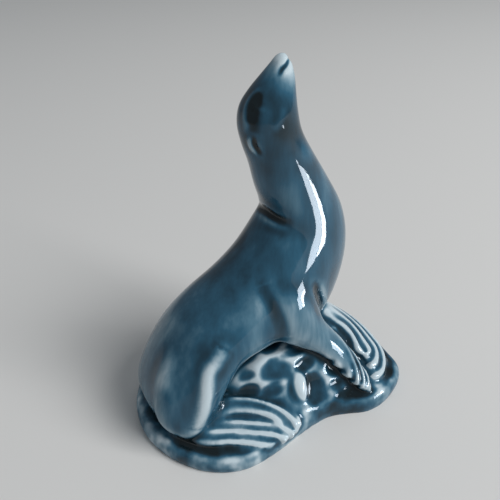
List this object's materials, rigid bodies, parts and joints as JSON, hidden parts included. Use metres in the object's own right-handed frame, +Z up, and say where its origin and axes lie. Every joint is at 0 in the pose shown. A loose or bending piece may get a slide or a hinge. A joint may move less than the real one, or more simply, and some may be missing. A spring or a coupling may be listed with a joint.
{
  "type": "seal figurine",
  "caption": "Glazed ceramic figurine of a sea lion sitting up on a low rock, head raised and turned to its right.",
  "frame": {"origin": "centre of the base's flat underside", "axes": "+X along the rock towards the sea lion's chest, +Y to its left, +Z up"},
  "size_m": [0.1189, 0.078, 0.1468],
  "materials": {
    "glaze": "glossy"
  },
  "bodies": {
    "root": {"seal_figurine": "glaze"}
  },
  "joints": []
}
